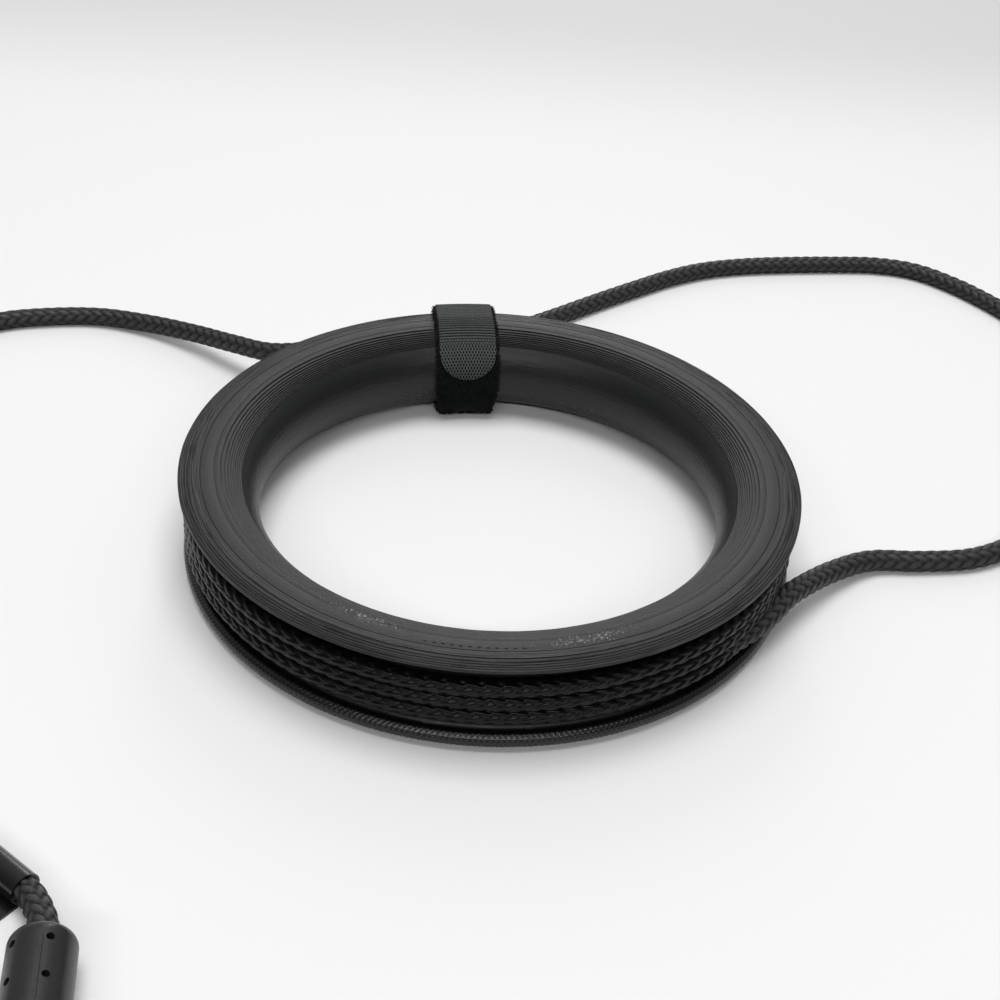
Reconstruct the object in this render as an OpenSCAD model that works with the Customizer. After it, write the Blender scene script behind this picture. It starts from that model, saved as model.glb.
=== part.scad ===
// Mouse bungee: a ring with an outward groove under a thin lip, a hook-and-loop strap
// round its section, a braided retaining loop round its foot, and a mouse lead wound
// in the groove, with its free stretches laid on the table.
// Millimetres, +Z up. The ring's axis is the Z axis and the table is z = 0.

/* [Ring] */
// Diameter over the rim of the upper lip
ring_d = 120; // [116:1:150]
// Width of the ring's section, from the hole to the upper lip's rim
section_w = 15; // [14:0.5:20]
// Height of the ring from crown to crown
ring_h = 18.8; // [17:0.2:24]
// Width of the flat land on each crown
land_w = 1.6; // [1:0.2:2.6]
// How far the lip's rim lies below the crown
crown_drop = 0.6; // [0.3:0.1:1]
// Depth of the groove, from the upper lip's rim to its floor
groove_depth = 4; // [3.8:0.1:6]
// Thickness of the lip and of the foot where they leave the groove's floor
lip_root = 1.8; // [1.6:0.1:2.4]
// Thickness of the lip at its rim
lip_rim = 0.8; // [0.6:0.1:1]
// Radius of the two inside corners of the groove
groove_fillet = 1.2; // [0.6:0.1:1.4]

/* [Fits] */
// Room left between parts that touch
part_gap = 0.05; // [0.02:0.01:0.1]
// Room round the lead in a bore, and between the turns and the ring
cord_gap = 0.15; // [0.1:0.05:0.2]

/* [Strap] */
// Where the strap sits round the ring, in degrees from the +X axis
strap_at = 99; // [94:0.5:100]
// Width of the loop-pile tape
tape_w = 13.5; // [12:0.5:15]
// Thickness of the loop-pile tape
tape_t = 0.85; // [0.7:0.05:1]
// Thickness of the tape where the ring stands on it
tape_under = 0.6; // [0.4:0.1:0.9]
// Width of the hook tab
tab_w = 12.5; // [8:0.5:13]
// Thickness of the hook tab
tab_t = 0.6; // [0.4:0.05:0.7]
// Height of the tab's round end above the ring's middle plane
tab_end = 0.9; // [-2:0.1:3]
// Height of the tab's sewn end on the outside, above the same plane
tab_root = -3; // [-5:0.5:4]
// Radius of the tape's inside at its folds over the rims
fold_r = 0.4; // [0.2:0.1:0.8]

/* [Retaining loop] */
// Diameter of the finely braided retaining loop
loop_d = 3; // [2.6:0.1:3.3]
// How far the loop stays inside the upper lip's rim
loop_inset = 0.05; // [0.05:0.05:0.3]

/* [Lead] */
// Diameter of the braided lead where it lies free
lead_d = 4.1; // [3.8:0.1:4.3]
// Diameter of the lead where it is pulled tight in the groove
turn_d = 3.3; // [2.8:0.1:3.4]
// How far neighbouring turns sink into each other
turn_squeeze = 0.2; // [0.1:0.05:0.3]
// Turns of the lead in the groove, one above the other
turn_rows = 3; // [1:1:3]
// How far the middle of the turns lies above the ring's middle plane
turn_rise = 0.2; // [0:0.05:0.6]
// Where the slack enters the groove, in degrees from the +X axis
slack_at = 335; // [320:5:340]

/* [Label] */
// Length of the blank label sleeve on the lead
label_len = 22; // [14:1:24]
// Outer diameter of the label sleeve
label_d = 5.2; // [5.2:0.1:6.5]
// Width of the sleeve's flat flag
flag_w = 9; // [6:0.5:12]
// Thickness of the flag
flag_t = 0.5; // [0.3:0.1:0.6]

/* [Ferrite bead] */
// Length of the moulded bead
bead_len = 26; // [22:1:30]
// Outer diameter of the moulded bead
bead_d = 10; // [9.6:0.2:13]
// Diameter of the ferrite core inside it
core_d = 7.6; // [6.6:0.2:8]
// Thickness of the bead's end walls
bead_wall = 2.6; // [2:0.2:4]
// Radius of the bead's shoulders
bead_round = 2.2; // [1:0.1:2.6]
// How far the bead has rolled on the table, in degrees
bead_roll = 12; // [-30:1:30]
// Diameter of the holes left by the pins that held the core
pin_hole_d = 1.2; // [0.8:0.1:1.6]
// Distance of the first holes from the bead's end
pin_hole_in = 3.6; // [3.2:0.1:5]
// Distance from one pair of holes to the next
pin_hole_pitch = 6.2; // [4:0.1:6.6]
// Angle of the holes from the middle of the raised panel, in degrees
pin_hole_turn = 33; // [30:1:50]
// Width of the raised panel along the bead
panel_w = 3.8; // [3:0.1:4.2]
// Height of the raised panel
panel_h = 0.2; // [0.1:0.05:0.3]

/* [Plug] */
// Width of the plug's moulded body
plug_w = 15.6; // [14:0.2:18]
// Thickness of the plug's moulded body
plug_t = 8; // [7:0.2:10]
// Length of the plug's moulded body
plug_len = 22; // [18:0.5:30]
// Radius of the body's long corners
plug_round = 2.4; // [1.4:0.1:3]
// Length of the tapered strain relief
relief_len = 11; // [8:0.5:16]
// Diameter of the strain relief at its thin end
relief_d = 5.6; // [5.2:0.1:6.4]

/* [Hidden] */
$fn = 96;

// Overlap that makes two shapes one, and how far a cut goes past a face
weld = 0.01;
past = 1;

// The ring's section: x is the distance from the axis, y the height from mid-plane
ring_r = ring_d / 2;
hole_r = ring_r - section_w;
crown = ring_h / 2;
bend_r = hole_r + crown;
mid_z = tape_under + part_gap + crown;
land_r = bend_r + land_w;
drop_w = ring_r - land_r;
drop_r = (drop_w * drop_w + crown_drop * crown_drop) / (2 * crown_drop);
floor_r = ring_r - groove_depth;
groove_root = crown - lip_root;
groove_rim = crown - crown_drop - lip_rim;

// Height of the groove's side above mid-plane at a distance r from the axis
function groove_side(r) =
    groove_root + (groove_rim - groove_root) * (r - floor_r) / groove_depth;

// Retaining loop, and the rim of the foot inside it
loop_r = ring_r - loop_inset - loop_d / 2;
loop_z = loop_d / 2 - crown;
foot_r = loop_r - loop_d / 2 - part_gap;

// Turns of the lead, from the lowest upwards
turn_r = floor_r + cord_gap + turn_d / 2;
turn_pitch = turn_d - turn_squeeze;
function turn_z(i) = turn_rise + (i - (turn_rows - 1) / 2) * turn_pitch;

// Distances of the strap's layers from the ring's section
tape_out = part_gap + tape_t;
tab_in = tape_out + part_gap;
tab_out = tab_in + tab_t;

// The plug's metal parts, of the usual size for this plug
shell_w = 12;
shell_t = 4.5;
shell_out = 14.5;
shell_seat = 4;
shell_sheet = 0.3;
shell_round = 0.6;
tongue_t = 1.9;
contact_w = 1;
contact_t = 0.25;
contact_len = 7.4;

// The laid lead keeps its shape round a ring of another diameter
lay_scale = ring_r / 60;
function lay(x, y, z) = [x * lay_scale, y * lay_scale, z];
function heading_vector(angle) = [cos(angle), sin(angle), 0];

// Heights of the lead's underside above the table where something carries it
label_h = (label_d - lead_d) / 2;
bead_h = (bead_d - lead_d) / 2;
plug_h = (plug_t - lead_d) / 2;
cord_sides = 8;

// Where the label sleeve, the bead and the plug lie on the lead, and their headings
label_start = lay(-82, -84, label_h);
label_turn = -36;
label_end = label_start + label_len * heading_vector(label_turn);
bead_start = [label_end[0] + 6, label_end[1] - 10, bead_h];
bead_turn = -80;
bead_end = bead_start + bead_len * heading_vector(bead_turn);
plug_turn = 180;
plug_end = [bead_end[0] - 20, bead_end[1] - 14, plug_h];

// Route of the free end: out of the groove behind the strap, round on the left of
// the ring, through the label sleeve and the bead, and into the plug.
// Each point is x, y and the height of the lead's underside.
tail_route = [
    lay(-34, 51.5, 11.4), lay(-43, 50.5, 9.2), lay(-52, 52.5, 6.9), lay(-62, 59, 4.6),
    lay(-72, 66, 2.4), lay(-84, 72, 0.7), lay(-97, 75, 0), lay(-109, 73.5, 0),
    lay(-120, 69.5, 0), lay(-128, 62, 0), lay(-131, 51, 0), lay(-130, 39, 0),
    lay(-128, 27, 0), lay(-125, 15, 0), lay(-122, 3, 0), lay(-119, -9, 0),
    lay(-115, -21, 0), lay(-111, -33, 0), lay(-107, -44, 0), lay(-102, -55, 0),
    lay(-97, -65, 0), lay(-90, -76, 0.2), label_start, label_end,
    label_end + [2, -2.2, 0.4], label_end + [3.8, -5, 1.2], label_end + [5.2, -7.6, 1.9],
    bead_start, bead_end,
    bead_end + [0, -5.5, -0.4], bead_end + [-3.5, -10.5, -0.8], bead_end + [-9, -13.5, -1],
    [bead_end[0] - 14, plug_end[1], plug_h], plug_end];

// Route of the slack between the groove's far side and its right side
slack_route = [
    lay(-22.5, 57.5, 7.2), lay(-12, 66.5, 4), lay(-1, 77, 1.5), lay(11, 88.8, 0.3),
    lay(23, 100, 0), lay(33, 108.6, 0), lay(43, 116.6, 0), lay(53, 122.6, 0),
    lay(63, 126.2, 0), lay(74, 128.7, 0), lay(87, 131, 0), lay(100, 132.4, 0),
    lay(110, 130.5, 0), lay(119, 124, 0), lay(128, 113.5, 0), lay(135, 102, 0),
    lay(139, 90, 0), lay(140, 78, 0), lay(139, 66, 0), lay(136, 54, 0),
    lay(131, 42, 0), lay(125, 30, 0), lay(118, 19, 0), lay(110, 9.5, 0),
    lay(99, 2.5, 0), lay(87, 0, 0), lay(77, -1.5, 0.4), lay(68, -8, 2),
    lay(60, -17, 4.3)];

function unit(v) = v / norm(v);

// Direction of a route at point i, from its neighbours
function along(route, i) =
    unit(route[min(i + 1, len(route) - 1)] - route[max(i - 1, 0)]);

// One ring of points round a route, square to its direction
function ring_points(centre, dir, r) =
    let (side = unit(cross(dir, [0, 0, 1])), up = cross(side, dir))
    [for (k = [0 : cord_sides - 1])
        centre + r * (cos(360 * k / cord_sides) * side + sin(360 * k / cord_sides) * up)];

// A round cord of diameter d along a route given by the heights of its underside
module cord_tube(route, d) {
    rings = len(route);
    points = [for (i = [0 : rings - 1])
        each ring_points(route[i] + [0, 0, d / 2], along(route, i), d / 2)];
    walls = [for (i = [0 : rings - 2], k = [0 : cord_sides - 1])
        let (a = i * cord_sides, b = a + cord_sides, n = (k + 1) % cord_sides)
        each [[a + k, a + n, b + k], [a + n, b + n, b + k]]];
    first = [for (k = [cord_sides - 1 : -1 : 0]) k];
    last = [for (k = [0 : cord_sides - 1]) (rings - 1) * cord_sides + k];
    polyhedron(points, concat([first], walls, [last]), convexity = 6);
}

// Stands its children, drawn along +X, on the lead from a point onwards
module on_lead(from, turn) {
    translate(from + [0, 0, lead_d / 2])
        rotate([0, 0, turn])
            children();
}

// A round rod along +X, from a start to a length further on
module rod(d, start, length) {
    translate([start, 0, 0])
        rotate([0, 90, 0])
            cylinder(d = d, h = length);
}

// Turns a section in x and height about the ring's axis, at the ring's height
module revolve(from = 0, angle = 360) {
    translate([0, 0, mid_z])
        rotate([0, 0, from])
            rotate_extrude(angle = angle)
                children();
}

// The part of the crown that falls away from the land to the rim
module rim_relief() {
    difference() {
        translate([land_r, crown - crown_drop])
            square([drop_w + past, crown_drop + past]);
        translate([land_r, crown - drop_r])
            circle(r = drop_r);
    }
}

// The groove's upper half: a floor, a filleted corner and a side that opens outwards
module groove_half() {
    side_r = floor_r + groove_fillet;
    out_r = ring_r + past;
    polygon([[side_r, -weld], [out_r, -weld], [out_r, groove_side(out_r)],
        [side_r, groove_side(side_r)]]);
    translate([floor_r, -weld])
        square([groove_fillet + weld, groove_side(side_r) - groove_fillet + weld]);
    translate([side_r, groove_side(side_r) - groove_fillet])
        circle(r = groove_fillet);
}

// Half-round towards the hole, flat lands on the crowns, a thin lip outwards above the
// groove, and a low foot below it that stops short of the retaining loop
module ring_section() {
    difference() {
        union() {
            intersection() {
                translate([bend_r, 0])
                    circle(r = crown);
                translate([0, -crown])
                    square([bend_r, ring_h]);
            }
            translate([bend_r - weld, -crown])
                square([ring_r - bend_r + weld, ring_h]);
        }
        for (side = [0, 1])
            mirror([0, side]) {
                rim_relief();
                groove_half();
            }
        translate([foot_r, -crown - past])
            square([ring_r - foot_r + past, crown + past]);
    }
}

// Outline at a distance out from the ring's section, and at a distance under below
// it, where it lies on the table
module wrap_outline(out, under) {
    top = crown + out;
    low = crown + under;
    rim = ring_r + out;
    corner = fold_r + out;
    intersection() {
        union() {
            translate([bend_r, 0])
                circle(r = top);
            translate([bend_r, -low])
                square([rim - corner - bend_r, top + low]);
            translate([bend_r, corner - low])
                square([rim - bend_r, top + low - 2 * corner]);
            for (z = [top - corner, corner - low])
                translate([rim - corner, z])
                    circle(r = corner);
        }
        translate([0, -low])
            square([rim, top + low]);
    }
}

// Keeps what lies within a strip across the strap, beyond a distance r from the axis
// and above a height from mid-plane
module strip(width, r, low) {
    translate([0, 0, mid_z])
        rotate([0, 0, strap_at])
            translate([r, -width / 2, low])
                cube([ring_d, width, ring_d]);
}

// The tab's face on the wall of the hole: straight edges and a round lower end
module tab_face() {
    translate([0, 0, mid_z])
        rotate([90, 0, strap_at + 90])
            linear_extrude(bend_r + weld) {
                translate([0, tab_end + tab_w / 2])
                    circle(d = tab_w);
                translate([-tab_w / 2, tab_end + tab_w / 2])
                    square([tab_w, ring_h]);
            }
}

module spool_ring() {
    color("#2b2c2e")
        revolve()
            ring_section();
}

module strap_tape() {
    color("#26272b")
        intersection() {
            revolve()
                difference() {
                    wrap_outline(tape_out, tape_under + part_gap);
                    wrap_outline(part_gap, part_gap);
                }
            strip(tape_w, hole_r / 2, -ring_d / 2);
        }
}

module strap_tab() {
    color("#4a4b50")
        intersection() {
            revolve()
                difference() {
                    wrap_outline(tab_out, tab_out);
                    wrap_outline(tab_in, tab_in);
                }
            union() {
                strip(tab_w, bend_r, tab_root);
                tab_face();
            }
        }
}

module retaining_loop() {
    color("#37383c")
        revolve()
            translate([loop_r, loop_z])
                circle(d = loop_d);
}

module lead_winding() {
    color("#3b3c3e") {
        revolve(strap_at, slack_at - strap_at)
            translate([turn_r, turn_z(0)])
                circle(d = turn_d);
        if (turn_rows > 1)
            revolve()
                for (i = [1 : turn_rows - 1])
                    translate([turn_r, turn_z(i)])
                        circle(d = turn_d);
    }
}

module lead_tail() {
    color("#3b3c3e")
        cord_tube(tail_route, lead_d);
}

module lead_loop() {
    color("#3b3c3e")
        cord_tube(slack_route, lead_d);
}

// Shrunk sleeve with a flat flag that lies on the table beside it
module lead_label() {
    color("#1c1d20")
        on_lead(label_start, label_turn)
            difference() {
                union() {
                    rod(label_d, 0, label_len);
                    translate([0, -label_d / 2 - flag_w, -label_d / 2])
                        cube([label_len, label_d / 2 + flag_w, flag_t]);
                }
                rod(lead_d + 2 * cord_gap, -past, label_len + 2 * past);
            }
}

// Half of the bead's lengthwise outline, with round shoulders
module bead_outline() {
    r = bead_d / 2;
    square([r - bead_round, bead_len]);
    translate([0, bead_round])
        square([r, bead_len - 2 * bead_round]);
    for (y = [bead_round, bead_len - bead_round])
        translate([r - bead_round, y])
            circle(r = bead_round);
}

// Raised panel with round ends along the bead's top
module bead_panel() {
    inset = bead_round + panel_w / 2;
    intersection() {
        rod(bead_d + 2 * panel_h, 0, bead_len);
        linear_extrude(bead_d) {
            for (x = [inset, bead_len - inset])
                translate([x, 0])
                    circle(d = panel_w);
            translate([inset, -panel_w / 2])
                square([bead_len - 2 * inset, panel_w]);
        }
    }
}

// Moulded round the core, with the holes of the pins that held it
module bead_housing() {
    last_pair = floor((bead_len - 2 * pin_hole_in) / pin_hole_pitch);
    color("#232427")
        on_lead(bead_start, bead_turn)
            rotate([bead_roll, 0, 0])
                difference() {
                    union() {
                        rotate([0, 90, 0])
                            rotate_extrude()
                                bead_outline();
                        bead_panel();
                    }
                    rod(lead_d + 2 * cord_gap, -past, bead_len + 2 * past);
                    rod(core_d + 2 * part_gap, bead_wall, bead_len - 2 * bead_wall);
                    for (i = [0 : last_pair], turn = [-pin_hole_turn, pin_hole_turn])
                        translate([pin_hole_in + i * pin_hole_pitch, 0, 0])
                            rotate([turn, 0, 0])
                                cylinder(d = pin_hole_d, h = bead_d);
                }
}

module bead_core() {
    length = bead_len - 2 * bead_wall - 2 * part_gap;
    color("#55565a")
        on_lead(bead_start, bead_turn)
            difference() {
                rod(core_d, bead_wall + part_gap, length);
                rod(lead_d + 2 * cord_gap, 0, bead_len);
            }
}

// A bar along +X with a section w wide and t high, whose long corners are round
module rounded_bar(w, t, r, start, length) {
    translate([start, 0, 0])
        rotate([90, 0, 90])
            linear_extrude(length) {
                square([w - 2 * r, t], center = true);
                square([w, t - 2 * r], center = true);
                for (x = [-1, 1], y = [-1, 1])
                    translate([x * (w / 2 - r), y * (t / 2 - r)])
                        circle(r = r);
            }
}

// Ring that cuts a shallow groove round a strain relief where it is d thick
module relief_groove(d, x) {
    width = 0.9;
    depth = 0.5;
    difference() {
        rod(d + 2 * past, x - width / 2, width);
        rod(d - 2 * depth, x - width, 2 * width);
    }
}

// Body with finger grooves, a pocket for the shell and a ringed strain relief
module plug_body() {
    front = relief_len + plug_len;
    thick_d = plug_t - 0.8;
    pocket = shell_seat + part_gap;
    ribs = 5;
    rib_pitch = 2;
    rib_w = 0.9;
    rib_deep = 0.4;
    color("#232427")
        on_lead(plug_end, plug_turn)
            difference() {
                union() {
                    rounded_bar(plug_w, plug_t, plug_round, relief_len, plug_len);
                    rotate([0, 90, 0])
                        cylinder(d1 = relief_d, d2 = thick_d, h = relief_len + weld);
                }
                rounded_bar(shell_w + 2 * part_gap, shell_t + 2 * part_gap, shell_round,
                    front - pocket, pocket + past);
                for (i = [0 : ribs - 1], side = [-1, 1])
                    translate([relief_len + plug_len / 4 + i * rib_pitch, 0, side * plug_t / 2])
                        cube([rib_w, plug_w * 0.6, 2 * rib_deep], center = true);
                for (i = [1 : 3])
                    relief_groove(relief_d + (thick_d - relief_d) * i / 4, i * relief_len / 4);
            }
}

// Folded metal shell with two windows on each face
module plug_shell() {
    start = relief_len + plug_len - shell_seat;
    length = shell_seat + shell_out;
    window = 2.3;
    color("#b9bcc0")
        on_lead(plug_end, plug_turn)
            difference() {
                rounded_bar(shell_w, shell_t, shell_round, start, length);
                rounded_bar(shell_w - 2 * shell_sheet, shell_t - 2 * shell_sheet,
                    shell_round - shell_sheet, start - past, length + 2 * past);
                for (y = [-1, 1])
                    translate([start + length - 6, y * shell_w / 5, 0])
                        cube([window, window, shell_t + past], center = true);
            }
}

// Where the contacts lie across the tongue, and how far each stands back from its end
contact_rows = [[-3.5, 1], [-1, 2], [1, 2], [3.5, 1]];

// A strip on the tongue's top for each contact, wider all round by a margin
module contact_strips(margin) {
    inside = shell_t / 2 - shell_sheet - part_gap;
    tip = relief_len + plug_len + shell_out - 0.4;
    for (row = contact_rows)
        translate([tip - row[1] - contact_len - margin, row[0] - contact_w / 2 - margin,
                tongue_t - inside - contact_t - margin])
            cube([contact_len + 2 * margin, contact_w + 2 * margin, contact_t + 2 * margin]);
}

// Block that fills the shell's root and carries the tongue
module plug_tongue() {
    inside_w = shell_w - 2 * shell_sheet - 2 * part_gap;
    inside_t = shell_t - 2 * shell_sheet - 2 * part_gap;
    start = relief_len + plug_len - shell_seat;
    color("#e8e8e6")
        on_lead(plug_end, plug_turn)
            difference() {
                union() {
                    translate([start + part_gap, -inside_w / 2, -inside_t / 2])
                        cube([shell_seat + 2, inside_w, inside_t]);
                    translate([start + part_gap, -inside_w / 2, -inside_t / 2])
                        cube([shell_seat + shell_out - 0.4 - part_gap, inside_w, tongue_t]);
                }
                contact_strips(part_gap);
            }
}

module plug_contacts() {
    color("#c9a44c")
        on_lead(plug_end, plug_turn)
            contact_strips(0);
}

spool_ring();
strap_tape();
strap_tab();
retaining_loop();
lead_winding();
lead_tail();
lead_loop();
lead_label();
bead_housing();
bead_core();
plug_body();
plug_shell();
plug_tongue();
plug_contacts();
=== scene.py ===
"""Looks of a mouse bungee: a printed ring with a groove, a hook-and-loop strap, a fine
retaining loop, and a braided lead with its bead and plug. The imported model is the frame.
Sizes in the text are millimetres, and MM turns them into Blender's metres."""
import math

import bpy
import numpy as np
from mathutils import Matrix, Vector


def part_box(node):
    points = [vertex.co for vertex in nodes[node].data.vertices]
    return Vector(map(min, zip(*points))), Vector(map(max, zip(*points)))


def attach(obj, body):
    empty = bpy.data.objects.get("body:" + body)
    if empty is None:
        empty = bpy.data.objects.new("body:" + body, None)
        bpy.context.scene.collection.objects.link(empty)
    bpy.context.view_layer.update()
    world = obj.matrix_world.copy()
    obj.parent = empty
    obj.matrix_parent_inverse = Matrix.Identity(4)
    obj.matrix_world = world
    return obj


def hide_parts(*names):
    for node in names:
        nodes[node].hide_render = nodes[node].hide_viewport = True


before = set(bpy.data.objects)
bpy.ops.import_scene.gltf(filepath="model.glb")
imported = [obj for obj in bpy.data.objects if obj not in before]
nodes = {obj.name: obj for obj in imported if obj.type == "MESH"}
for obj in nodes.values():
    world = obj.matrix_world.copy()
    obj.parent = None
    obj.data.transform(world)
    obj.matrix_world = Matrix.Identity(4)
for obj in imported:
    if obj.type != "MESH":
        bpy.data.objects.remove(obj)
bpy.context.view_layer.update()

MM = 0.001
rng = np.random.default_rng(7)


def node_box(name):
    """Lowest and highest corner of a CAD node, in millimetres."""
    low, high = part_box(name)
    return np.array(low) / MM, np.array(high) / MM


# Sizes, read from the nodes' boxes, and else the same as in the part's source. The section
# of the ring is mirrored about its middle height, and z in it counts from there.
ring_low, ring_high = node_box("spool_ring")
ring_r = (ring_high[0] - ring_low[0]) / 2
crown = (ring_high[2] - ring_low[2]) / 2
mid_z = (ring_high[2] + ring_low[2]) / 2
section_w = 15
bend_r = ring_r - section_w + crown
land_w = 1.6
land_r = bend_r + land_w
crown_drop = 0.6
groove_depth = 4
floor_r = ring_r - groove_depth
groove_root = crown - 1.8
groove_rim = crown - crown_drop - 0.8
groove_fillet = 1.2

# The print's layers: fine ones on the outer crown, and coarser ones under a thin first one
# at the top of the hole's wall, down to a share of the crown's height
fine_layer, first_layer, wall_layer, layered_to = 0.12, 0.07, 0.235, 0.72

lead_d = 4.1
turn_d = 3.3
turn_r = floor_r + 0.15 + turn_d / 2
row_pitch = 3.1
row_low = node_box("lead_winding")[0][2] + turn_d / 2
row_mid = row_low + row_pitch
row_top = row_mid + row_pitch

loop_low, loop_high = node_box("retaining_loop")
loop_d = loop_high[2] - loop_low[2]
loop_z = (loop_high[2] + loop_low[2]) / 2
loop_r = (loop_high[0] - loop_low[0] - loop_d) / 2
foot_r = loop_r - loop_d / 2 - 0.05

label_d, label_len = 5.2, 22
bead_d, bead_len = 10, 26
plug_tall = 8

strap_at = math.radians(99)
tape_w, tape_t, tape_under = 13.5, 0.85, 0.6
tab_w, tab_t, tab_end, tab_root = 12.5, 0.6, 0.9, -3
part_gap = 0.05
fold_r = 0.4


# Camera
def place_camera():
    """Camera on the photograph's line of sight: a distance back from the ring's middle at
    an elevation, rolled about that line, with the ring moved a little off the middle."""
    focal, sensor = 54, 36
    elevation, roll = math.radians(35.77), math.radians(4.01)
    distance, aside, above = 297.1, -2.085, 0.218
    level = np.array([1.0, 0, 0])
    rise = np.array([0, math.sin(elevation), math.cos(elevation)])
    back = np.array([0, -math.cos(elevation), math.sin(elevation)])
    right = math.cos(roll) * level + math.sin(roll) * rise
    up = math.cos(roll) * rise - math.sin(roll) * level
    place = np.array([0, 0, mid_z]) + distance * back - aside * right - above * up
    camera = bpy.data.objects.new("camera", bpy.data.cameras.new("camera"))
    camera.data.lens, camera.data.sensor_width = focal, sensor
    camera.data.clip_start, camera.data.clip_end = 0.01, 30
    turn = Matrix([right, up, back]).transposed().to_4x4()
    camera.matrix_world = Matrix.Translation(place * MM) @ turn
    bpy.context.collection.objects.link(camera)
    bpy.context.scene.camera = camera


place_camera()


# Mesh and path helpers
def make_mesh(name, points, faces, smooth_angle=None, values=None, uv=None, closed=True):
    """A piece from points in millimetres and faces as a list of arrays of corners. Where
    the signed volume of a closed body comes out negative, its faces are turned to point
    outwards. values are float attributes on the points, and uv is one pair for each corner
    of the first array."""
    points = np.asarray(points, float) * MM
    quads = faces[0]
    p = points[quads]
    volume = np.einsum("ij,ij->i", p[:, 0], np.cross(p[:, 1], p[:, 2])).sum()
    volume += np.einsum("ij,ij->i", p[:, 0], np.cross(p[:, 2], p[:, -1])).sum()
    if closed and volume < 0:
        faces = [f[:, ::-1] for f in faces]
        uv = None if uv is None else uv[:, ::-1]
    sizes = np.concatenate([np.full(len(f), f.shape[1]) for f in faces])
    corners = np.concatenate([f.ravel() for f in faces])
    mesh = bpy.data.meshes.new(name)
    mesh.vertices.add(len(points))
    mesh.vertices.foreach_set("co", points.ravel())
    mesh.loops.add(len(corners))
    mesh.loops.foreach_set("vertex_index", corners.astype(np.int32))
    mesh.polygons.add(len(sizes))
    starts = np.concatenate([[0], np.cumsum(sizes)[:-1]])
    mesh.polygons.foreach_set("loop_start", starts.astype(np.int32))
    mesh.polygons.foreach_set("use_smooth", np.ones(len(sizes), bool))
    if uv is not None:
        layer = np.zeros((len(corners), 2))
        layer[: uv.shape[0] * uv.shape[1]] = uv.reshape(-1, 2)
        mesh.uv_layers.new(name="UVMap").data.foreach_set("uv", layer.ravel())
    for key, value in (values or {}).items():
        data = mesh.attributes.new(key, "FLOAT", "POINT").data
        data.foreach_set("value", np.asarray(value, np.float32).ravel())
    mesh.update(calc_edges=True)
    mesh.validate()
    if smooth_angle:
        mesh.set_sharp_from_angle(angle=math.radians(smooth_angle))
    piece = bpy.data.objects.new(name, mesh)
    bpy.context.collection.objects.link(piece)
    return piece


def grid_faces(rows, columns, wrap_rows, wrap_columns):
    """Quads of a grid of rows times columns points, closed on itself where it wraps, and
    the grid place of each quad's first corner."""
    i, j = np.meshgrid(
        np.arange(rows if wrap_rows else rows - 1),
        np.arange(columns if wrap_columns else columns - 1),
        indexing="ij",
    )
    i, j = i.ravel(), j.ravel()
    n, m = (i + 1) % rows, (j + 1) % columns
    quads = np.stack([i * columns + j, n * columns + j, n * columns + m, i * columns + m], 1)
    return quads, i, j


def smooth_path(points, step):
    """A curve through the points, each span a cubic whose ends head along the line between
    their neighbours, cut into pieces of one length."""
    p = np.asarray(points, float)
    p = np.vstack([2 * p[0] - p[1], p, 2 * p[-1] - p[-2]])
    t = np.linspace(0, 1, 40, endpoint=False)[:, None]
    spans = []
    for a, b, c, d in zip(p[:-3], p[1:-2], p[2:-1], p[3:]):
        gap = np.sqrt([np.linalg.norm(v) for v in (b - a, c - b, d - c)])
        out = (b - a) / gap[0] - (c - a) / (gap[0] + gap[1]) + (c - b) / gap[1]
        arrive = (c - b) / gap[1] - (d - b) / (gap[1] + gap[2]) + (d - c) / gap[2]
        out, arrive = out * gap[1], arrive * gap[1]
        spans.append(
            (2 * t**3 - 3 * t**2 + 1) * b
            + (t**3 - 2 * t**2 + t) * out
            + (3 * t**2 - 2 * t**3) * c
            + (t**3 - t**2) * arrive
        )
    fine = np.vstack([*spans, p[-2][None]])
    far = np.concatenate([[0], np.cumsum(np.linalg.norm(np.diff(fine, axis=0), axis=1))])
    count = max(int(round(far[-1] / step)), 2) + 1
    even = np.linspace(0, far[-1], count)
    return np.stack([np.interp(even, far, fine[:, k]) for k in range(3)], 1), even


def path_frames(path):
    """Direction of a path at each point, and two directions square to it, the first level."""
    ahead = np.gradient(path, axis=0)
    ahead /= np.linalg.norm(ahead, axis=1, keepdims=True)
    side = np.cross(ahead, [0, 0, 1])
    side /= np.linalg.norm(side, axis=1, keepdims=True)
    return ahead, side, np.cross(side, ahead)


# Braids
def braid(around, along, lift, flat):
    """Height of a braid, about 0 to 1. around and along count the strands: one set lies
    where their sum is whole, the other where their difference is. Each strand is a ridge,
    round at flat 2 and flatter above it, that rises and sinks by lift, over two strands of
    the other set and under two."""
    a, b = around + along, around - along
    i, j = np.floor(a), np.floor(b)
    ridge_a = np.sqrt(1 - 0.94 * np.abs(2 * (a - i) - 1) ** flat)
    ridge_b = np.sqrt(1 - 0.94 * np.abs(2 * (b - j) - 1) ** flat)
    over_a = ridge_a + lift * np.cos(math.pi / 2 * (b + i - 1))
    over_b = ridge_b + lift * np.cos(math.pi / 2 * (a + j - 3))
    low = 0.25 - lift * 0.3
    return np.clip((np.maximum(over_a, over_b) - low) / (1 + lift - low), 0, 1)


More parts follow.
